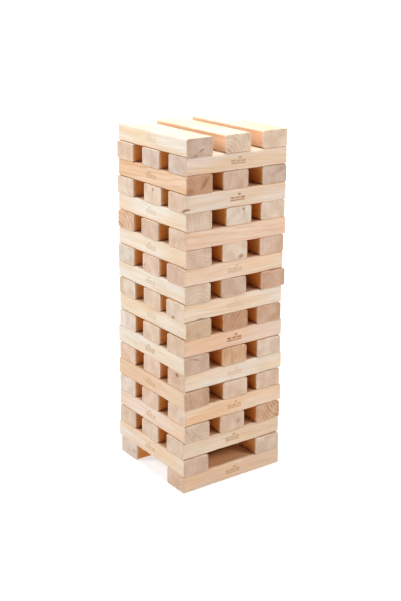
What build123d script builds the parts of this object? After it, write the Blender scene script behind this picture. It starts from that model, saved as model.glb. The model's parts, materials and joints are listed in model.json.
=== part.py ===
from build123d import *
import os

# Giant tumbling tower: loose pine blocks stacked crosswise in twenty courses, as it stands at the
# start of a game. Millimetres, +Z up. The origin is on the ground under the middle of the tower.

# One block. It is planed pine: the plane rounds its four long edges, and the saw leaves the two
# ends square, with only a trace of a bevel.
BLOCK_LENGTH = 200
BLOCK_WIDTH = 50
BLOCK_HEIGHT = 29.5
LONG_EDGE_RADIUS = 3
SAWN_EDGE_BEVEL = 0.5

# The stack. Odd courses run along X and even ones along Y. The slack between courses is what lets
# a block be drawn out without dragging on its neighbours.
COURSE_COUNT = 20
COURSE_SLACK = 0.1
COURSE_PITCH = BLOCK_HEIGHT + COURSE_SLACK
OUTER_LINE = (BLOCK_LENGTH - BLOCK_WIDTH) / 2

# Where the blocks of a course lie across it. The two lowest courses, the foundation, hold two
# blocks each and every other course holds three.
FOUNDATION_COURSES = 2
PLACES_ALONG_X = {"front": -OUTER_LINE, "middle": 0, "back": OUTER_LINE}
PLACES_ALONG_Y = {"left": -OUTER_LINE, "middle": 0, "right": OUTER_LINE}

# The tower is laid by hand, so each block lies a millimetre or so off its line. For every course:
# how far its blocks lie off sideways, then how far they are pushed endways, in the order of the
# places above (front to back, or left to right) and towards +X or +Y.
LAYING = {
    1: ((1, -2), (0, 1)),
    2: ((-1.5, -1.5), (0.5, 0)),
    3: ((2, 5, 0), (-1, 0.5, 0)),
    4: ((0, -2, -1.5), (0, 1, -0.5)),
    5: ((0, 2, 0), (0.5, -1, 0)),
    6: ((-1.5, 2.5, -2), (-0.5, 0, 1)),
    7: ((0.5, -0.5, -1), (0.5, 1, 0)),
    8: ((-1, -0.5, -2), (1, -0.5, 0)),
    9: ((1, -0.5, -0.5), (-0.5, 0, 1)),
    10: ((1.5, 1.5, -3), (0, 1, 0.5)),
    11: ((0.5, -2.5, -1.5), (-2.5, 0.5, 0)),
    12: ((0, -3.5, 2.5), (0.5, 0, -1)),
    13: ((0.5, -0.5, 0.5), (-1.5, 0, -0.5)),
    14: ((0.5, -1.5, -1), (-0.5, 1, 0)),
    15: ((-1.5, 2, 1), (1, -0.5, 0)),
    16: ((1, 4, 0.5), (0, -1, 0.5)),
    17: ((-1.5, -4, 1.5), (0, 1, -0.5)),
    18: ((1, -2, 2), (-0.5, 0.5, 0)),
    19: ((0, -0.5, 1), (1.5, 0, -1)),
    20: ((1.5, 1.5, 2.5), (0, -1, 0.5)),
}


def make_block():
    """One block along X, centred on the origin."""
    block = Box(BLOCK_LENGTH, BLOCK_WIDTH, BLOCK_HEIGHT)
    block = fillet(block.edges().filter_by(Axis.X), LONG_EDGE_RADIUS)
    sawn_ends = block.faces().filter_by(Axis.X)
    return chamfer(sawn_ends.edges(), SAWN_EDGE_BEVEL)


def lay_course(course, block):
    """The blocks of one course, as a dictionary from node name to placed solid."""
    along_x = course % 2 == 1
    places = PLACES_ALONG_X if along_x else PLACES_ALONG_Y
    if course <= FOUNDATION_COURSES:
        places = {name: line for name, line in places.items() if name != "middle"}
    height = (course - 1) * COURSE_PITCH + BLOCK_HEIGHT / 2
    sideways, endways = LAYING[course]
    laid = {}
    for (place, line), aside, along in zip(places.items(), sideways, endways):
        if along_x:
            location = Pos(along, line + aside, height)
        else:
            location = Pos(line + aside, along, height) * Rot(0, 0, 90)
        laid[f"course_{course:02d}_{place}_block"] = location * block
    return laid


os.makedirs("parts", exist_ok=True)
pine_block = make_block()
for course in range(1, COURSE_COUNT + 1):
    for node, solid in lay_course(course, pine_block).items():
        export_step(solid, f"parts/{node}.step")
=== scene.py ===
import json
import math
import random

import bmesh
import bpy
from mathutils import Matrix, Vector, noise

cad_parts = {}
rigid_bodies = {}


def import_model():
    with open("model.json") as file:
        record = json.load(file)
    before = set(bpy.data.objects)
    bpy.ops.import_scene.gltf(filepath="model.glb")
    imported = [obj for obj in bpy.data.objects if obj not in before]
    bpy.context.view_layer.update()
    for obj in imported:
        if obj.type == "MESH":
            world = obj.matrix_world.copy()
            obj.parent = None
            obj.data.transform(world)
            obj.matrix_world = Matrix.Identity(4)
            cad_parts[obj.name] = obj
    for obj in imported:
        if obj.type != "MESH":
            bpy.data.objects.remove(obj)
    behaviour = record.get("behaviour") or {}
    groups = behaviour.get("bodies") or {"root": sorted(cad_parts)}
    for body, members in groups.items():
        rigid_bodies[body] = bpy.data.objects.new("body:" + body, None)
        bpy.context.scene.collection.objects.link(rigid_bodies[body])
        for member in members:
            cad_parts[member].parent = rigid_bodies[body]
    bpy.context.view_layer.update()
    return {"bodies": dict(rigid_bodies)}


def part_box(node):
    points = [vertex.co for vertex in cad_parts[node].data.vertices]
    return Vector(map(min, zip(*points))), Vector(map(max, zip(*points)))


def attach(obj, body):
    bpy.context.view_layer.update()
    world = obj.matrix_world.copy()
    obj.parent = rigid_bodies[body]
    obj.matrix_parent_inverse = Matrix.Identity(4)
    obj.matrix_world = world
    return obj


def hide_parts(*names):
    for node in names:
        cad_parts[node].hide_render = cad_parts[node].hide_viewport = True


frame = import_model()
MM = 0.001


# ---------------------------------------------------------------------------------------------
# A block's four long faces are planed pine. The planer leaves them smooth and a little silky, pale
# cream with soft honey-coloured latewood lines along the block, and faint ripples across it.

def hex_colour(code):
    """An sRGB hex colour as linear red, green, blue and alpha."""
    channels = [int(code[i:i + 2], 16) / 255 for i in (1, 3, 5)]
    linear = [c / 12.92 if c <= 0.04045 else ((c + 0.055) / 1.055) ** 2.4 for c in channels]
    return (*linear, 1)


def add(tree, kind, inputs, output=0, stops=(), **settings):
    """Adds a node with its settings and links, and gives one of its outputs. stops fill a ramp."""
    node = tree.nodes.new("ShaderNode" + kind)
    for name, value in settings.items():
        setattr(node, name, value)
    for _ in stops[2:]:
        node.color_ramp.elements.new(0.5)
    for i, (position, level) in enumerate(stops):
        node.color_ramp.elements[i].position = position
        node.color_ramp.elements[i].color = level if isinstance(level, tuple) else (level,) * 3 + (1,)
    for key, value in inputs.items():
        if isinstance(value, bpy.types.NodeSocket):
            tree.links.new(value, node.inputs[key])
        else:
            node.inputs[key].default_value = value
    return node.outputs[output]


def growth_rings(tree):
    """The tree at a point: its place there, how far into latewood it is (0 to 1), and which year.

    Each vertex carries its place in the tree that its block was sawn from, so a ring that meets an
    edge carries on round the corner, from a planed face to a sawn end.
    """
    place = add(tree, "Attribute", {}, "Vector", attribute_name="tree")
    # A trunk is never quite round or straight, so its rings sway by up to 7 mm.
    slow = add(tree, "Mapping", {"Vector": place, "Scale": (7, 26, 26)})
    sway = add(tree, "TexNoise", {"Vector": slow, "Scale": 1, "Detail": 2}, "Color")
    sway = add(tree, "VectorMath", {0: sway, 1: (0.5, 0.5, 0.5)}, operation="SUBTRACT")
    sway = add(tree, "VectorMath", {0: sway, 1: (0, 0.014, 0.014)}, operation="MULTIPLY")
    bent = add(tree, "VectorMath", {0: place, 1: sway}, operation="ADD")
    across = add(tree, "VectorMath", {0: bent, 1: (0, 1, 1)}, operation="MULTIPLY")
    radius = add(tree, "VectorMath", {0: across}, "Value", operation="LENGTH")
    ring_width = add(tree, "Attribute", {}, "Fac", attribute_name="ring_width")
    years = add(tree, "Math", {0: radius, 1: ring_width}, operation="DIVIDE")
    # Good and bad years in turn make the rings wider and narrower.
    seasons = add(tree, "TexNoise", {"W": years, "Scale": 0.4, "Detail": 1}, noise_dimensions="1D")
    years = add(tree, "Math", {0: seasons, 1: 1.3, 2: years}, operation="MULTIPLY_ADD")
    # The rings bulge round each knot.
    for knot in ("knot", "second_knot"):
        cell = add(tree, "Attribute", {}, "Vector", attribute_name=knot)
        squared = add(tree, "VectorMath", {0: cell, 1: cell}, "Value", operation="DOT_PRODUCT")
        reach = add(tree, "Math", {0: squared, 1: 1.0}, operation="ADD")
        bulge = add(tree, "Math", {0: 2.6, 1: reach}, operation="DIVIDE")
        years = add(tree, "Math", {0: years, 1: bulge}, operation="ADD")
    # Each year's wood is pale at first and darkens slowly, then stops short at the winter.
    phase = add(tree, "Math", {0: years}, operation="FRACT")
    late = add(tree, "ValToRGB", {"Fac": phase},
               stops=[(0.0, 0.3), (0.1, 0.05), (0.4, 0.12), (0.72, 0.6), (0.86, 1.0), (0.94, 0.9),
                      (1.0, 0.3)])
    # The rings are clear in some places and faint in others, over about 25 mm.
    clear = add(tree, "Mapping", {"Vector": place, "Scale": (9, 42, 42), "Location": (3, 3, 3)})
    clear = add(tree, "TexNoise", {"Vector": clear, "Scale": 1, "Detail": 1})
    clear = add(tree, "MapRange", {"Value": clear, "From Min": 0.36, "From Max": 0.62,
                                   "To Min": 0.4, "To Max": 1.15})
    late = add(tree, "Math", {0: late, 1: clear}, operation="MULTIPLY")
    whole_year = add(tree, "Math", {0: years}, operation="FLOOR")
    year = add(tree, "TexWhiteNoise", {"W": whole_year}, noise_dimensions="1D")
    return place, late, year


def knot_wood(tree, colour):
    """Lays the block's knots over its colour: a dark rim round a browner core, soft at the edge."""
    for knot in ("knot", "second_knot"):
        cell = add(tree, "Attribute", {}, "Vector", attribute_name=knot)
        depth = add(tree, "Attribute", {}, "Fac", attribute_name=knot + "_depth")
        fray = add(tree, "TexNoise", {"Vector": cell, "Scale": 1.6, "Detail": 2})
        reach = add(tree, "VectorMath", {0: cell}, "Value", operation="LENGTH")
        reach = add(tree, "Math", {0: fray, 1: 0.9, 2: reach}, operation="MULTIPLY_ADD")
        core = add(tree, "MapRange", {"Value": reach, "From Min": 0.3, "From Max": 2.3})
        core = add(tree, "ValToRGB", {"Fac": core},
                   stops=[(0.0, hex_colour("#94694c")), (0.2, hex_colour("#7c543b")),
                          (0.42, hex_colour("#6d4730")), (0.6, hex_colour("#a8805c")),
                          (1.0, hex_colour("#cfa987"))])
        cover = add(tree, "MapRange", {"Value": reach, "From Min": 0.8, "From Max": 2.0, "To Min": 1,
                                       "To Max": 0}, interpolation_type="SMOOTHSTEP")
        strength = add(tree, "Math", {0: cover, 1: depth}, operation="MULTIPLY")
        colour = add(tree, "Mix", {0: strength, 6: colour, 7: core}, 2, data_type="RGBA")
    return colour


planed_pine = bpy.data.materials.new("planed pine")
planed_pine.use_nodes = True
wood = planed_pine.node_tree
shader = wood.nodes["Principled BSDF"]
place, late, year = growth_rings(wood)

EARLYWOOD = hex_colour("#e6ddd6")
LATEWOOD = hex_colour("#cfa67a")
contrast = add(wood, "Attribute", {}, "Fac", attribute_name="contrast")
year_tone = add(wood, "MapRange", {"Value": year, "To Min": 0.45, "To Max": 0.7})
line_tone = add(wood, "Math", {0: late, 1: contrast}, operation="MULTIPLY")
line_tone = add(wood, "Math", {0: line_tone, 1: year_tone}, operation="MULTIPLY")
colour = add(wood, "Mix", {0: line_tone, 6: EARLYWOOD, 7: LATEWOOD}, 2, data_type="RGBA")

# Broad, soft patches of warmer wood, about 40 mm across and 150 mm long, and streaks of 9 mm.
for scale, shade in (((7, 26, 26), "#fff2e0"), ((9, 110, 110), "#fdf1e4")):
    patch = add(wood, "Mapping", {"Vector": place, "Scale": scale})
    patch = add(wood, "TexNoise", {"Vector": patch, "Scale": 1, "Detail": 3})
    warmth = add(wood, "MapRange", {"Value": patch, "From Min": 0.38, "From Max": 0.68})
    colour = add(wood, "Mix", {0: warmth, 6: colour, 7: hex_colour(shade)}, 2, data_type="RGBA",
                 blend_type="MULTIPLY")

# Fibres: pale and dark streaks about 3 mm wide and 80 mm long, then finer ones of 1 mm.
for scale, low, high in (((13, 330, 330), 0.94, 1.05), ((30, 900, 900), 0.96, 1.04)):
    fibre = add(wood, "Mapping", {"Vector": place, "Scale": scale})
    fibre = add(wood, "TexNoise", {"Vector": fibre, "Scale": 1, "Detail": 3})
    fibre = add(wood, "MapRange", {"Value": fibre, "From Min": 0.3, "From Max": 0.7,
                                   "To Min": low, "To Max": high})
    colour = add(wood, "Mix", {0: 1.0, 6: colour, 7: fibre}, 2, data_type="RGBA",
                 blend_type="MULTIPLY")

# Resin canals: short brown dashes, 6 mm long.
canal = add(wood, "Mapping", {"Vector": place, "Scale": (110, 420, 420)})
canal = add(wood, "TexVoronoi", {"Vector": canal, "Scale": 1})
canal = add(wood, "ValToRGB", {"Fac": canal}, stops=[(0.0, 0.88), (0.12, 0.92), (0.2, 1.0)])
colour = add(wood, "Mix", {0: 1.0, 6: colour, 7: canal}, 2, data_type="RGBA",
             blend_type="MULTIPLY")

# The board's own colour, and painted shade: a honey colour on the sides that lie in the dark of the
# tower.
PAINTED_SHADE_HONEY = hex_colour("#ffc880")
tint = add(wood, "Attribute", {}, "Color", attribute_name="tint")
honey = add(wood, "Attribute", {}, "Fac", attribute_name="honey")
colour = add(wood, "Mix", {0: 1.0, 6: colour, 7: tint}, 2, data_type="RGBA",
             blend_type="MULTIPLY")
colour = add(wood, "Mix", {0: honey, 6: colour, 7: PAINTED_SHADE_HONEY}, 2, data_type="RGBA",
             blend_type="MULTIPLY")
wood.links.new(knot_wood(wood, colour), shader.inputs["Base Color"])

silk = add(wood, "MapRange", {"Value": late, "To Min": 0.62, "To Max": 0.48})
wood.links.new(silk, shader.inputs["Roughness"])
shader.inputs["Specular IOR Level"].default_value = 0.35

# Relief: latewood stands a hair proud, and the cutter's ripples are 3 mm apart.
ripple = add(wood, "TexWave", {"Vector": place, "Scale": 52, "Distortion": 1.5}, "Fac",
             bands_direction="X")
ripple = add(wood, "Math", {0: ripple, 1: 0.35}, operation="MULTIPLY")
proud = add(wood, "Math", {0: late, 1: ripple}, operation="ADD")
relief = add(wood, "Bump", {"Height": proud, "Strength": 0.5, "Distance": 0.09 * MM})
wood.links.new(relief, shader.inputs["Normal"])


# ---------------------------------------------------------------------------------------------
# A block's two ends are sawn across the grain. The saw leaves the cut fibres open, so the ends are
# greyer and duller than the planed faces, with the rings as arcs and the saw's scratches over them.

end_grain = bpy.data.materials.new("sawn pine end grain")
end_grain.use_nodes = True
cut = end_grain.node_tree
shader = cut.nodes["Principled BSDF"]
place, late, year = growth_rings(cut)

END_EARLYWOOD = hex_colour("#dcd1c8")
END_LATEWOOD = hex_colour("#b38f77")
contrast = add(cut, "Attribute", {}, "Fac", attribute_name="end_contrast")
year_tone = add(cut, "MapRange", {"Value": year, "To Min": 0.65, "To Max": 1.15})
ring_tone = add(cut, "Math", {0: late, 1: contrast}, operation="MULTIPLY")
ring_tone = add(cut, "Math", {0: ring_tone, 1: year_tone}, operation="MULTIPLY")
colour = add(cut, "Mix", {0: ring_tone, 6: END_EARLYWOOD, 7: END_LATEWOOD}, 2, data_type="RGBA")

# Soft cloudy patches about 20 mm across, where the end has dried paler or browner.
cloud = add(cut, "TexNoise", {"Vector": place, "Scale": 48, "Detail": 2})
cloud = add(cut, "MapRange", {"Value": cloud, "From Min": 0.35, "From Max": 0.65})
cloud = add(cut, "Mix", {0: cloud, 6: hex_colour("#fffdfb"), 7: hex_colour("#f1e6dc")}, 2,
            data_type="RGBA")
colour = add(cut, "Mix", {0: 1.0, 6: colour, 7: cloud}, 2, data_type="RGBA",
             blend_type="MULTIPLY")

# Open pores about 1 mm across, and scratches of the saw that run up and down the end.
pores = add(cut, "TexNoise", {"Vector": place, "Scale": 700, "Detail": 2})
pores = add(cut, "MapRange", {"Value": pores, "From Min": 0.35, "From Max": 0.65,
                              "To Min": 0.95, "To Max": 1.04})
scratch = add(cut, "Mapping", {"Vector": place, "Scale": (1, 420, 22),
                               "Rotation": (math.radians(8), 0, 0)})
scratch = add(cut, "TexNoise", {"Vector": scratch, "Scale": 1, "Detail": 2})
scratches = add(cut, "MapRange", {"Value": scratch, "From Min": 0.35, "From Max": 0.65,
                                  "To Min": 0.96, "To Max": 1.03})
tint = add(cut, "Attribute", {}, "Color", attribute_name="end_tint")
for layer in (pores, scratches, tint):
    colour = add(cut, "Mix", {0: 1.0, 6: colour, 7: layer}, 2, data_type="RGBA",
                 blend_type="MULTIPLY")
cut.links.new(knot_wood(cut, colour), shader.inputs["Base Color"])
shader.inputs["Roughness"].default_value = 0.78
shader.inputs["Specular IOR Level"].default_value = 0.2

rough = add(cut, "Math", {0: scratch, 1: 1.5}, operation="MULTIPLY")
rough = add(cut, "Math", {0: late, 1: rough}, operation="ADD")
relief = add(cut, "Bump", {"Height": rough, "Strength": 0.6, "Distance": 0.12 * MM})
cut.links.new(relief, shader.inputs["Normal"])


# ---------------------------------------------------------------------------------------------
# A maker's mark is burnt into one narrow face of each block. It is a shallow picture of a stack:
# one long block, three blocks across it and one block end on top, in lightly scorched pine.

scorched_pine = bpy.data.materials.new("scorched pine")
scorched_pine.use_nodes = True
burn = scorched_pine.node_tree
shader = burn.nodes["Principled BSDF"]
place = add(burn, "Attribute", {}, "Vector", attribute_name="tree")
scorch = add(burn, "Attribute", {}, "Fac", attribute_name="scorch")
tint = add(burn, "Attribute", {}, "Color", attribute_name="tint")
# The hot iron takes unevenly, in patches about 3 mm across.
patch = add(burn, "TexNoise", {"Vector": place, "Scale": 260, "Detail": 2})
patch = add(burn, "MapRange", {"Value": patch, "From Min": 0.3, "From Max": 0.7,
                               "To Min": 0.7, "To Max": 1.2})
heat = add(burn, "Math", {0: scorch, 1: patch}, operation="MULTIPLY")
colour = add(burn, "Mix", {0: heat, 6: hex_colour("#e4d2be"), 7: hex_colour("#a5703f")}, 2,
             data_type="RGBA")
colour = add(burn, "Mix", {0: 1.0, 6: colour, 7: tint}, 2, data_type="RGBA",
             blend_type="MULTIPLY")
burn.links.new(colour, shader.inputs["Base Color"])
shader.inputs["Roughness"].default_value = 0.8
shader.inputs["Specular IOR Level"].default_value = 0.15
relief = add(burn, "Bump", {"Height": patch, "Strength": 0.4, "Distance": 0.2 * MM})
burn.links.new(relief, shader.inputs["Normal"])

# The bars of the mark, from the middle of the face: (left, right, bottom, top) in millimetres.
MARK_BARS = [(-14.6, 14.6, -4.2, -2), (-14.6, -6.2, -0.8, 2.6), (-4.4, 4.4, -0.8, 2.6),
             (6.2, 14.6, -0.8, 2.6), (0.6, 6.2, 4.2, 7.8)]
MARK_DEPTH = 0.25 * MM
MARK_SLOPE = 0.25 * MM
MATERIALS = [planed_pine, end_grain, scorched_pine]
SQUARE = 0.99  # a face looks along an axis when its normal has more than this of it


def cut_mark(bm, side):
    """Burns the mark into the flat face on the +Y or -Y side."""
    lines = [((1, 0, 0), at) for at in sorted({bar[i] for bar in MARK_BARS for i in (0, 1)})]
    lines += [((0, 0, 1), at) for at in sorted({bar[i] for bar in MARK_BARS for i in (2, 3)})]
    for across, at in lines:
        faces = [f for f in bm.faces if f.normal.y * side > SQUARE]
        region = {*faces, *(e for f in faces for e in f.edges), *(v for f in faces for v in f.verts)}
        bmesh.ops.bisect_plane(bm, geom=list(region), plane_co=Vector(across) * at * MM,
                               plane_no=across)
    bm.normal_update()
    burnt = []
    for face in bm.faces:
        middle = face.calc_center_median() / MM
        inside = any(left < middle.x < right and low < middle.z < high
                     for left, right, low, high in MARK_BARS)
        if inside and face.normal.y * side > SQUARE:
            burnt.append(face)
    walls = bmesh.ops.inset_region(bm, faces=burnt, thickness=MARK_SLOPE, depth=-MARK_DEPTH,
                                   use_even_offset=True)["faces"]
    for face in burnt + walls:
        face.material_index = MATERIALS.index(scorched_pine)


# ---------------------------------------------------------------------------------------------
# The bar itself: four rounded long edges, two square ends with a trace of a bevel. Handling has
# bruised the edges a little, so they waver and carry a few small dents.

LONG_EDGE_RADIUS = 3.0 * MM
SAWN_EDGE_BEVEL = 0.5 * MM
SLICE_LENGTH = 5 * MM
EDGE_WAVER = 0.35 * MM
DENT_DEPTH = 0.9 * MM
DENT_REACH = 3 * MM
FLAT_MARGIN = 0.8 * MM
WAVES_PER_METRE = 45
HAIR = 0.01 * MM


def make_block(length, width, height, mark_side, chance):
    """A block's mesh along X, centred on the origin, with its mark on the +Y or -Y side."""
    bm = bmesh.new()
    bmesh.ops.create_cube(bm, size=1)
    bmesh.ops.scale(bm, vec=(length, width, height), verts=bm.verts)
    long_edges = [e for e in bm.edges if abs(e.verts[0].co.x - e.verts[1].co.x) > length / 2]
    bmesh.ops.bevel(bm, geom=long_edges, offset=LONG_EDGE_RADIUS, offset_type="OFFSET", segments=4,
                    profile=0.5, affect="EDGES", material=-1)
    bm.normal_update()
    ends = [f for f in bm.faces if abs(f.normal.x) > SQUARE]
    rims = list({e for f in ends for e in f.edges})
    bmesh.ops.bevel(bm, geom=rims, offset=SAWN_EDGE_BEVEL, offset_type="OFFSET", segments=2,
                    profile=0.5, affect="EDGES", material=-1)
    bm.normal_update()
    for face in bm.faces:
        sawn = abs(face.normal.x) > SQUARE
        face.material_index = MATERIALS.index(end_grain if sawn else planed_pine)

    # A narrow strip beside each rounded edge keeps the shading of the flat faces flat.
    cuts = []
    for axis, half in ((Vector((0, 1, 0)), width / 2), (Vector((0, 0, 1)), height / 2)):
        strip = half - LONG_EDGE_RADIUS - FLAT_MARGIN
        cuts += [(axis * strip, axis), (-axis * strip, axis)]
    for place, axis in cuts:
        bmesh.ops.bisect_plane(bm, geom=bm.verts[:] + bm.edges[:] + bm.faces[:],
                               plane_co=place, plane_no=axis)
    cut_mark(bm, mark_side)

    # The long edges waver and are dented. Nothing else moves, so the flat faces stay flat.
    slices = round(length / SLICE_LENGTH)
    for i in range(1, slices):
        bmesh.ops.bisect_plane(bm, geom=bm.verts[:] + bm.edges[:] + bm.faces[:],
                               plane_co=(length * (i / slices - 0.5), 0, 0), plane_no=(1, 0, 0))
    flat_y, flat_z = width / 2 - LONG_EDGE_RADIUS, height / 2 - LONG_EDGE_RADIUS
    dents = [(side_y, side_z, chance.uniform(-0.5, 0.5) * length,
              chance.uniform(0.3, 1) * DENT_DEPTH)
             for side_y in (-1, 1) for side_z in (-1, 1) for _ in range(2)]
    drift = Vector((chance.uniform(0, 50), chance.uniform(0, 50), chance.uniform(0, 50)))
    for vert in bm.verts:
        over_y, over_z = abs(vert.co.y) - flat_y, abs(vert.co.z) - flat_z
        if over_y < HAIR or over_z < HAIR:
            continue
        side_y, side_z = math.copysign(1, vert.co.y), math.copysign(1, vert.co.z)
        sample = Vector((vert.co.x * WAVES_PER_METRE, side_y * 3, side_z * 3)) + drift
        worn = (noise.noise(sample) * 0.5 + 0.5) * EDGE_WAVER
        for dent_y, dent_z, dent_x, depth in dents:
            if (dent_y, dent_z) == (side_y, side_z):
                worn += depth * math.exp(-((vert.co.x - dent_x) / DENT_REACH) ** 2)
        inward = Vector((0, -side_y * over_y, -side_z * over_z)) / LONG_EDGE_RADIUS
        vert.co += inward * worn
    for face in bm.faces:
        face.smooth = face.material_index == MATERIALS.index(planed_pine)
    return bm


# ---------------------------------------------------------------------------------------------
# The foundation: two blocks to a course in the two lowest courses, side by side with a wide gap.
# They stay put. Each block is cut, given its own piece of the tree, and laid where it belongs.

# The plank that a block comes from gives it a colour of its own, which multiplies the pine's.
BOARD_COLOURS = {
    "bleached": "#ffffff", "white": "#f1f3f0", "milk": "#f7f4ee", "ivory": "#fcf5ed",
    "cream": "#fdf0e6", "oat": "#f8f0e5", "linen": "#f5eae0", "honey": "#f8e6d3",
    "rose": "#f4e4d9", "pearl": "#ece8e5", "sand": "#eddfd5", "amber": "#eedcc8", "tan": "#e9d2c1",
    "ash": "#e3d8d1", "apricot": "#f4dac0", "toffee": "#dfc0a8",
}

# What each block was cut from. pith is where the tree's middle lies from the block's own middle,
# seen on its near end: to the right and up, in millimetres. lean is the tree's slope against the
# block in degrees, to the right and up, ring the width of a year's growth, contrast how dark the
# latewood is on the faces and end_contrast on the ends, tint the board colour of the faces and end
# that of the ends, and mark how dark the burnt mark is. A knot is (place along, right, up), (half
# sizes), its turn in degrees on the end, and how dark it is.
FOUNDATION_TIMBER = {
    "course_01_back": dict(pith=(-30, 60), ring=4.0, contrast=0.3, tint="oat", end="bleached",
                           end_contrast=0.14, knots=[((-100, 16.5, 0), (4, 4, 4), 0, 0.35)]),
    "course_01_front": dict(pith=(36, -28), ring=5.4, contrast=0.35, tint="honey", end="cream",
                            end_contrast=0.35, mark=0.4),
    "course_02_left": dict(pith=(-140, 60), ring=4.4, contrast=0.25, tint="milk", end="rose",
                           end_contrast=0.14, mark=0.35),
    "course_02_right": dict(pith=(50, 120), ring=3.4, contrast=0.2, tint="oat", end="ivory",
                            end_contrast=0.1),
}
PLAIN_BOARDS = ["ivory", "cream", "oat", "milk"]
NO_KNOT = ((0, 0, 900), (1, 1, 1), 0, 0.0)

# Marks face outwards, but this block was laid with its mark towards the middle.
MARK_TURNED_IN = ["course_15_front"]


def knot_place(point, knot):
    """Where a point lies in a knot's own measure, in which the knot's surface is 1 from its middle."""
    centre, half_sizes, turn, _ = knot
    from_centre = Matrix.Rotation(math.radians(-turn), 3, "X") @ (point - Vector(centre) * MM)
    return Vector([c / (h * MM) for c, h in zip(from_centre, half_sizes)])


# Painted shade: a honey colour on the wood that lies in the dark of the tower, on sides that face a
# neighbour and more weakly on the tops of the buried blocks. Course 20 lies open to the sky, and
# course 2 has a wide gap, so their sides get less of it. Sides are told by how far out they lie, as
# a share of half the width: a side's flat is at 1, and its rounded edge starts just inside that.
SIDE_PAINTED_SHADE = {20: 0.4, 2: 0.9}
BED_PAINTED_SHADE = 0.3
LAST_SHADED_BED = 18
DAYLIGHT_AT_ENDS = 4 * MM
OUTER_SIDE, SIDE_FLAT, SIDE_EDGE = 0.86, 0.99, 0.97


def honey(point, size, outer, course):
    """How much painted shade, a honey colour, a point takes: 1 on sides that face a neighbour, 0 where
    daylight falls.
    """
    if abs(point.x) > size.x / 2 - DAYLIGHT_AT_ENDS:
        return 0.0
    side = point.y / (size.y / 2)
    if side * outer > OUTER_SIDE:
        return 0.0
    deepest = SIDE_PAINTED_SHADE.get(course, 1.0)
    if abs(side) > SIDE_FLAT:
        return deepest
    if abs(side) > SIDE_EDGE:
        return deepest / 2
    if course <= LAST_SHADED_BED and point.z > size.z / 2 - HAIR:
        return BED_PAINTED_SHADE
    return 0.0


def lay_block(name, body, timbers):
    """Makes one block where its CAD solid lies, gives it its timber, and lets it ride on its body."""
    node = name + "_block"
    course, spot = int(name.split("_")[1]), name.split("_")[2]
    chance = random.Random(node)
    low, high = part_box(node)
    middle, size = (low + high) / 2, high - low
    along_x = course % 2 == 1
    if not along_x:
        size = Vector((size.y, size.x, size.z))
    mark_side = 1 if spot in ("back", "left") or name in MARK_TURNED_IN else -1
    bm = make_block(*size, mark_side, chance)
    mesh = bpy.data.meshes.new(node)
    bm.to_mesh(mesh)
    bm.free()
    for material in MATERIALS:
        mesh.materials.append(material)

    # What the table doesn't say about a block is drawn by lot.
    timber = dict(pith=(chance.choice((-1, 1)) * chance.uniform(20, 90), chance.uniform(-80, 80)),
                  lean=(chance.uniform(-2, 2), chance.uniform(-2, 2)),
                  ring=chance.uniform(3.4, 5.4), contrast=chance.uniform(0.25, 0.5),
                  end_contrast=chance.uniform(0.15, 0.4), tint=chance.choice(PLAIN_BOARDS),
                  end="linen", mark=chance.uniform(0.25, 0.6), knots=[])
    timber.update(timbers.get(name, {}))
    # The near end is at -X, and seen from there right is -Y, so Y is turned over for the tree.
    points = [Vector((v.co.x, -v.co.y, v.co.z)) for v in mesh.vertices]
    shift = Vector((chance.uniform(0, 5), 0, 0)) - Vector((0, *timber["pith"])) * MM
    slope = Vector((0, *(math.tan(math.radians(a)) for a in timber["lean"])))
    values = {"tree": [p + shift + slope * (p.x + size.x / 2) for p in points]}
    for label, knot in zip(("knot", "second_knot"), timber["knots"] + [NO_KNOT, NO_KNOT]):
        values[label] = [knot_place(p, knot) for p in points]
        values[label + "_depth"] = knot[3]
    values["ring_width"] = timber["ring"] * MM
    values["contrast"] = timber["contrast"]
    values["end_contrast"] = timber["end_contrast"]
    values["scorch"] = timber["mark"]
    values["tint"] = Vector(hex_colour(BOARD_COLOURS[timber["tint"]])[:3])
    values["end_tint"] = Vector(hex_colour(BOARD_COLOURS[timber["end"]])[:3])
    # The block's own side, +Y or -Y before it is turned, that faces out of the tower.
    outer = {"front": -1, "back": 1, "left": 1, "right": -1}.get(spot, 0)
    # Painted shade: a honey colour where the block lies in the dark of the tower.
    values["honey"] = [honey(v.co, size, outer, course) for v in mesh.vertices]
    for label, value in values.items():
        each = value if isinstance(value, list) else [value] * len(points)
        if isinstance(each[0], float):
            mesh.attributes.new(label, "FLOAT", "POINT").data.foreach_set("value", each)
        else:
            layer = mesh.attributes.new(label, "FLOAT_VECTOR", "POINT")
            layer.data.foreach_set("vector", [c for vector in each for c in vector])

    turn = Matrix() if along_x else Matrix.Rotation(math.radians(90), 4, "Z")
    mesh.transform(Matrix.Translation(middle) @ turn)
    block = bpy.data.objects.new(name + "_pine", mesh)
    bpy.context.scene.collection.objects.link(block)
    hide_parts(node)
    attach(block, body)


for name in ("course_01_front", "course_01_back", "course_02_left", "course_02_right"):
    lay_block(name, "foundation", FOUNDATION_TIMBER)


# ---------------------------------------------------------------------------------------------
# Courses 3 to 19: three blocks to a course, laid across the course below with gaps of about 25 mm
# and only roughly in line. Nothing fixes them but their weight, and each can be drawn out.

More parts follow.
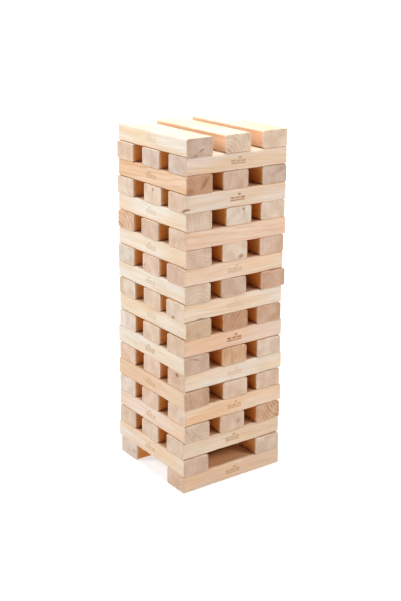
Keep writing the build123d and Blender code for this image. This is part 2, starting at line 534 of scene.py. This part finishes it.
MIDDLE_TIMBER = {
    "course_03_back": dict(pith=(-50, 50), ring=4.0, contrast=0.4, tint="rose", end="oat",
                           end_contrast=0.21),
    "course_03_front": dict(pith=(34, -38), ring=5.0, contrast=0.4, tint="oat", end="oat",
                            end_contrast=0.32, mark=0.45),
    "course_03_middle": dict(pith=(80, 80), ring=3.6, contrast=0.3, tint="oat", end="ivory",
                             end_contrast=0.08),
    "course_04_left": dict(pith=(64, 40), ring=6.0, contrast=0.12, tint="linen", end="ivory",
                           end_contrast=0.39, mark=0.25),
    "course_04_middle": dict(pith=(60, 80), ring=3.8, contrast=0.2, tint="oat", end="cream",
                             end_contrast=0.08, knots=[((-98, 12, -1), (8, 5, 4.5), 0, 0.3)]),
    "course_04_right": dict(pith=(42, 34), ring=6.0, contrast=0.8, tint="honey", end="apricot",
                            end_contrast=0.7),
    "course_05_back": dict(end="bleached"),
    "course_05_front": dict(pith=(70, -70), ring=4.6, contrast=0.15, tint="honey", end="ivory",
                            end_contrast=0.1, mark=0.35),
    "course_05_middle": dict(pith=(-150, 10), ring=4.6, contrast=0.4, tint="oat",
                             end="cream", end_contrast=0.17),
    "course_06_left": dict(pith=(-110, -25), ring=5.4, contrast=0.3, tint="amber", end="tan",
                           end_contrast=0.42, mark=0.2),
    "course_06_middle": dict(pith=(10, -88), ring=3.6, contrast=0.3, tint="oat", end="cream",
                             end_contrast=0.14),
    "course_06_right": dict(pith=(160, 6), ring=4.8, contrast=0.4, tint="linen", end="cream",
                            end_contrast=0.24),
    "course_07_back": dict(pith=(40, -40), ring=4.6, contrast=0.4, tint="linen", end="cream",
                           end_contrast=0.21),
    "course_07_front": dict(pith=(-30, 66), ring=4.2, contrast=0.12, tint="milk", end="rose",
                            end_contrast=0.21, mark=0.15,
                            knots=[((-100, 2.5, 9), (4, 4.4, 2.8), -15, 0.85)]),
    "course_07_middle": dict(pith=(60, 60), ring=3.8, contrast=0.3, tint="cream", end="cream",
                             end_contrast=0.08),
    "course_08_left": dict(pith=(90, 44), ring=4.4, contrast=0.2, tint="white", end="sand",
                           end_contrast=0.21, mark=0.45,
                           knots=[((-100, -1, 8), (3, 8, 1.2), -18, 0.5),
                                  ((12, 25, -8), (9, 2, 1.4), 0, 0.55)]),
    "course_08_middle": dict(pith=(130, 12), ring=8.0, contrast=0.6, tint="honey", end="apricot",
                             end_contrast=0.39),
    "course_08_right": dict(pith=(-120, 30), ring=4.0, contrast=0.3, tint="cream", end="ivory",
                            end_contrast=0.1),
    "course_09_back": dict(pith=(-100, 20), ring=4.0, contrast=0.3, tint="oat", end="bleached",
                           end_contrast=0.17),
    "course_09_front": dict(pith=(80, -30), ring=4.6, contrast=0.15, tint="rose", end="oat",
                            end_contrast=0.21, mark=0.7),
    "course_09_middle": dict(pith=(120, -30), ring=4.4, contrast=0.3, tint="cream",
                             end="oat", end_contrast=0.14),
    "course_10_left": dict(pith=(-60, 90), ring=3.4, contrast=0.12, tint="white", end="amber",
                           end_contrast=0.1, mark=0.15),
    "course_10_middle": dict(pith=(62, -46), ring=6.0, contrast=0.7, tint="honey", end="toffee",
                             end_contrast=0.62),
    "course_10_right": dict(pith=(16, -16), ring=5.2, contrast=0.5, tint="honey", end="tan",
                            end_contrast=0.28),
    "course_11_back": dict(end="milk"),
    "course_11_front": dict(pith=(50, 60), ring=5.4, contrast=0.35, tint="milk", end="milk",
                            end_contrast=0.1, mark=0.2,
                            knots=[((-100, -5, -12), (4, 4.6, 2.2), 25, 0.7),
                                   ((-66, 23, -15), (10, 14, 4), 0, 0.6)]),
    "course_11_middle": dict(pith=(100, 40), ring=3.4, contrast=0.3, tint="ivory", end="oat",
                             end_contrast=0.1),
    "course_12_left": dict(pith=(-6, -36), ring=4.6, contrast=0.15, tint="white", end="oat",
                           end_contrast=0.32, mark=0.18),
    "course_12_middle": dict(pith=(-34, -40), ring=4.6, contrast=0.4, tint="oat",
                             end="sand", end_contrast=0.28),
    "course_12_right": dict(pith=(4, -58), ring=3.6, contrast=0.4, tint="rose", end="tan",
                            end_contrast=0.17),
    "course_13_back": dict(pith=(80, -60), ring=3.4, contrast=0.3, tint="cream", end="white",
                           end_contrast=0.1),
    "course_13_front": dict(pith=(8, -52), ring=4.0, contrast=0.2, tint="linen", end="sand",
                            end_contrast=0.21, mark=0.25),
    "course_13_middle": dict(pith=(-70, 40), ring=3.6, contrast=0.3, tint="cream", end="linen",
                             end_contrast=0.14, knots=[((-100, -18, -4), (2, 2, 2), 0, 0.5)]),
    "course_14_left": dict(pith=(-4, -58), ring=4.6, contrast=0.15, tint="white", end="linen",
                           end_contrast=0.24, mark=0.28),
    "course_14_middle": dict(pith=(22, -70), ring=4.0, contrast=0.3, tint="ivory", end="ivory",
                             end_contrast=0.1, knots=[((-100, 12, -10), (5, 5.5, 3.6), 15, 0.6)]),
    "course_14_right": dict(pith=(120, 16), ring=4.6, contrast=0.5, tint="rose", end="rose",
                            end_contrast=0.32),
    "course_15_back": dict(pith=(-22, -26), ring=9.0, contrast=0.8, tint="honey", end="honey",
                           end_contrast=0.75),
    "course_15_front": dict(pith=(34, -10), lean=(2.5, 4), ring=9.0, contrast=0.6, tint="rose",
                            end="linen", end_contrast=0.14),
    "course_15_middle": dict(pith=(60, 70), ring=3.4, contrast=0.3, tint="linen", end="sand",
                             end_contrast=0.1),
    "course_16_left": dict(pith=(-140, -10), ring=4.6, contrast=0.12, tint="white",
                           end="linen", end_contrast=0.32, mark=0.15),
    "course_16_middle": dict(pith=(70, -90), ring=3.4, contrast=0.15, tint="ivory",
                             end="milk", end_contrast=0.07,
                             knots=[((-100, 9, 9.5), (3, 2.6, 2.2), 0, 0.65),
                                    ((-99, 10, 0), (3, 1.6, 12), 0, 0.2)]),
    "course_16_right": dict(pith=(-20, -60), ring=4.0, contrast=0.3, tint="cream", end="ivory",
                            end_contrast=0.14),
    "course_17_back": dict(pith=(30, 60), ring=3.4, contrast=0.3, tint="linen", end="milk",
                           end_contrast=0.14),
    "course_17_front": dict(pith=(-40, -62), ring=4.4, contrast=0.15, tint="pearl",
                            end="linen", end_contrast=0.17, mark=0.65,
                            knots=[((-99, 22, -9), (7, 10, 2.2), 24, 0.75)]),
    "course_17_middle": dict(pith=(4, 110), ring=3.6, contrast=0.2, tint="ivory", end="oat",
                             end_contrast=0.1,
                             knots=[((-100, 2, 8), (3, 2, 3), 0, 0.8),
                                    ((-100, -0.5, -5), (3, 0.7, 9), -8, 0.6)]),
    "course_18_left": dict(pith=(40, 34), lean=(1, 2.5), ring=4.2, contrast=0.7, tint="amber",
                           end="toffee", end_contrast=0.39, mark=0.3,
                           knots=[((-99, 11, 2), (10, 13, 3.4), 52, 0.5),
                                  ((-99, -17, -11), (12, 9, 6), 35, 0.35)]),
    "course_18_middle": dict(pith=(60, -30), ring=5.2, contrast=0.5, tint="linen", end="sand",
                             end_contrast=0.32),
    "course_18_right": dict(pith=(-8, 80), ring=3.4, contrast=0.2, tint="linen", end="ash",
                            end_contrast=0.1, knots=[((-96, 15, 8), (14, 12, 6), 20, 0.3)]),
    "course_19_back": dict(pith=(15, -70), ring=3.4, contrast=0.3, tint="oat", end="linen",
                           end_contrast=0.17),
    "course_19_front": dict(pith=(48, 22), lean=(-1, 3.5), ring=6.5, contrast=0.5, tint="pearl",
                            end="pearl", end_contrast=0.21, mark=0.5),
    "course_19_middle": dict(pith=(-130, 5), ring=4.6, contrast=0.4, tint="ivory", end="pearl",
                             end_contrast=0.24),
}

for body in frame["bodies"]:
    if body != "foundation" and not body.startswith("course_20"):
        lay_block(body, body, MIDDLE_TIMBER)


# ---------------------------------------------------------------------------------------------
# The top course: three blocks across the last full course. They carry nothing, so they can be
# lifted off. Daylight falls between them, so their sides get less of the painted shade.

TOP_TIMBER = {
    "course_20_left": dict(pith=(14, -46), ring=3.4, contrast=0.3, tint="white", end="ash",
                           end_contrast=0.2, mark=0.15,
                           knots=[((-100, 3, -6), (10, 6, 1.8), 28, 0.55),
                                  ((-98, -9, -14), (10, 6, 2.5), 20, 0.4)]),
    "course_20_middle": dict(pith=(-26, -22), ring=6.4, contrast=0.35, tint="ivory",
                             end="oat", end_contrast=0.5),
    "course_20_right": dict(pith=(6, 95), ring=3.4, contrast=0.2, tint="ivory", end="oat",
                            end_contrast=0.1, knots=[((-100, 10, 3), (3, 1.5, 1.2), 0, 0.35)]),
}

for body in ("course_20_left", "course_20_middle", "course_20_right"):
    lay_block(body, body, TOP_TIMBER)


# ---------------------------------------------------------------------------------------------
# The studio floor: a near-white board under the tower, which runs out into a white background.
# It glows as painted light, more away from the tower, and under the tower it is painted brown as
# painted shade.

floor_mesh = bpy.data.meshes.new("studio_floor")
bm = bmesh.new()
bmesh.ops.create_grid(bm, x_segments=4, y_segments=4, size=30)
bm.to_mesh(floor_mesh)
bm.free()
floor = bpy.data.objects.new("studio_floor", floor_mesh)
bpy.context.scene.collection.objects.link(floor)
floor_paint = bpy.data.materials.new("white studio floor")
floor_paint.use_nodes = True
paint = floor_paint.node_tree
shader = paint.nodes["Principled BSDF"]
spot = add(paint, "TexCoord", {}, "Object")
# Painted shade: inside the foundation the floor is painted a dim brown, standing in for the shade
# under the tower.
under = add(paint, "VectorMath", {0: spot, 1: (0.03, 0, 0)}, "Value", operation="DISTANCE")
open_floor = add(paint, "MapRange", {"Value": under, "From Min": 0.06, "From Max": 0.085},
                 interpolation_type="SMOOTHSTEP")
shade = add(paint, "Mix", {0: open_floor, 6: hex_colour("#a98a6c"), 7: hex_colour("#bcbcbc")}, 2,
            data_type="RGBA")
near = add(paint, "Math", {0: open_floor, 1: 0.5}, operation="MULTIPLY")
# Painted light: the floor glows at half strength outside the hollow and more farther out, so that
# beyond 3 m it is as white as the background.
distance = add(paint, "VectorMath", {0: spot}, "Value", operation="LENGTH")
far = add(paint, "MapRange", {"Value": distance, "From Min": 0.6, "From Max": 3, "To Max": 0.6},
          interpolation_type="SMOOTHSTEP")
painted_floor_light = add(paint, "Math", {0: near, 1: far}, operation="ADD")
paint.links.new(shade, shader.inputs["Base Color"])
paint.links.new(painted_floor_light, shader.inputs["Emission Strength"])
shader.inputs["Emission Color"].default_value = hex_colour("#ffffff")
shader.inputs["Roughness"].default_value = 0.9
shader.inputs["Specular IOR Level"].default_value = 0
floor_mesh.materials.append(floor_paint)


# ---------------------------------------------------------------------------------------------
# The studio light: three soft lamps, above and on the far side of each visible face, so that the
# gaps between the blocks stay deep and warm. The background is white but lights the tower dimly.

world = bpy.data.worlds.new("studio")
bpy.context.scene.world = world
world.use_nodes = True
BACKGROUND_LIGHT, BACKGROUND_SEEN = 0.12, 1.0
seen = add(world.node_tree, "LightPath", {}, "Is Camera Ray")
strength = add(world.node_tree, "MapRange", {"Value": seen, "To Min": BACKGROUND_LIGHT,
                                             "To Max": BACKGROUND_SEEN})
background = world.node_tree.nodes["Background"]
background.inputs["Color"].default_value = hex_colour("#ffffff")
world.node_tree.links.new(strength, background.inputs["Strength"])

# Each lamp: where it hangs and where it points, in metres, and its power in watts.
LAMP_SIZE = 1.0
LAMPS = {
    "top_softbox": ((0, 0, 2.6), (0, 0, 0), 52),
    "left_softbox": ((-2.1, 1.4, 1.9), (0, 0, 0.3), 48),
    "right_softbox": ((1.35, -2.05, 1.9), (0, 0, 0.3), 33),
}
for name, (place, target, power) in LAMPS.items():
    lamp = bpy.data.lights.new(name, "AREA")
    lamp.shape = "SQUARE"
    lamp.size = LAMP_SIZE
    lamp.energy = power
    holder = bpy.data.objects.new(name, lamp)
    bpy.context.scene.collection.objects.link(holder)
    holder.location = place
    holder.rotation_euler = (Vector(target) - Vector(place)).to_track_quat("-Z", "Y").to_euler()


# ---------------------------------------------------------------------------------------------
# The camera looks along a corner of the tower, from a little above its top. It is tipped down a
# little, and its shift puts the tower in the middle of the picture.

CAMERA_PLACE = (-1.0087, -1.4043, 0.8562)
CAMERA_HEADING, CAMERA_TIP, CAMERA_ROLL = -35.69, 77.04, 0.41
camera = bpy.data.objects.new("camera", bpy.data.cameras.new("camera"))
bpy.context.scene.collection.objects.link(camera)
bpy.context.scene.camera = camera
camera.data.sensor_width = 36
camera.data.lens = 63.36
camera.data.shift_y = -0.16
camera.matrix_world = (Matrix.Translation(CAMERA_PLACE)
                       @ Matrix.Rotation(math.radians(CAMERA_HEADING), 4, "Z")
                       @ Matrix.Rotation(math.radians(CAMERA_TIP), 4, "X")
                       @ Matrix.Rotation(math.radians(CAMERA_ROLL), 4, "Z"))

view = bpy.context.scene.view_settings
view.view_transform = "Standard"
view.look = "Medium High Contrast"
